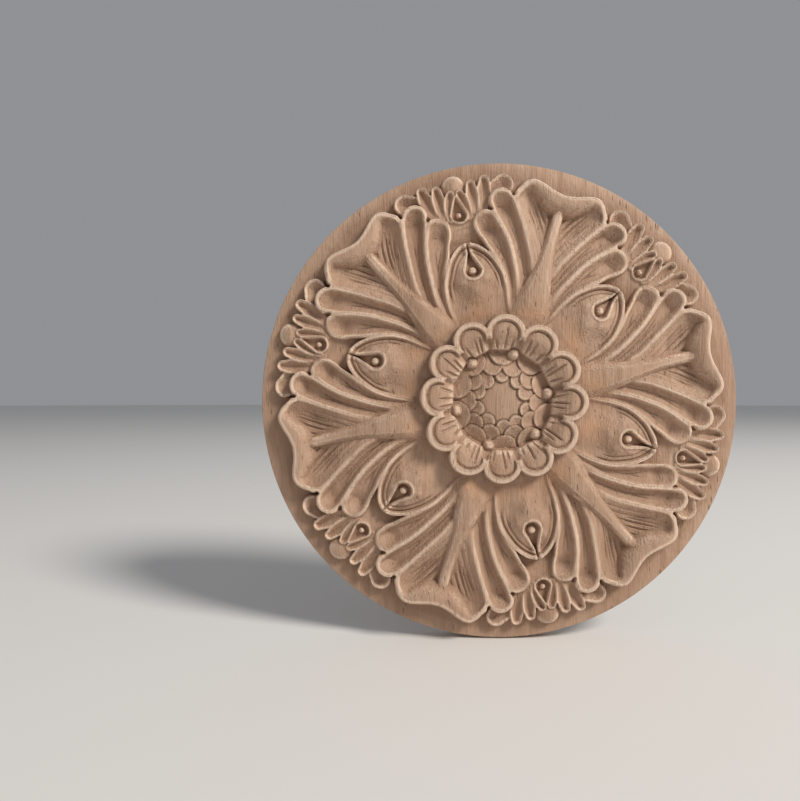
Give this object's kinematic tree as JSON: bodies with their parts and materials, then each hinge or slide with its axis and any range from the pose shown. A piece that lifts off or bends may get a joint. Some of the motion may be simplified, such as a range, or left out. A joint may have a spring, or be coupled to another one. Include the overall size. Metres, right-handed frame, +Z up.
{
  "type": "carved wooden rosette",
  "caption": "Round wall rosette carved from one block of wood, with acanthus leaves and buds in relief around a scalloped flower, flat at the back.",
  "frame": {"origin": "centre of the disc, on its flat back face", "axes": "+Y out of the flat back, towards the wall; the carving faces -Y; +Z up as in the picture; the disc lies in X and Z"},
  "size_m": [0.2, 0.021, 0.2],
  "materials": {
    "bare_wood": "unfinished pale pinkish-tan hardwood, carved and lightly sanded, matt"
  },
  "bodies": {
    "root": {"rosette": "bare_wood"}
  },
  "joints": []
}
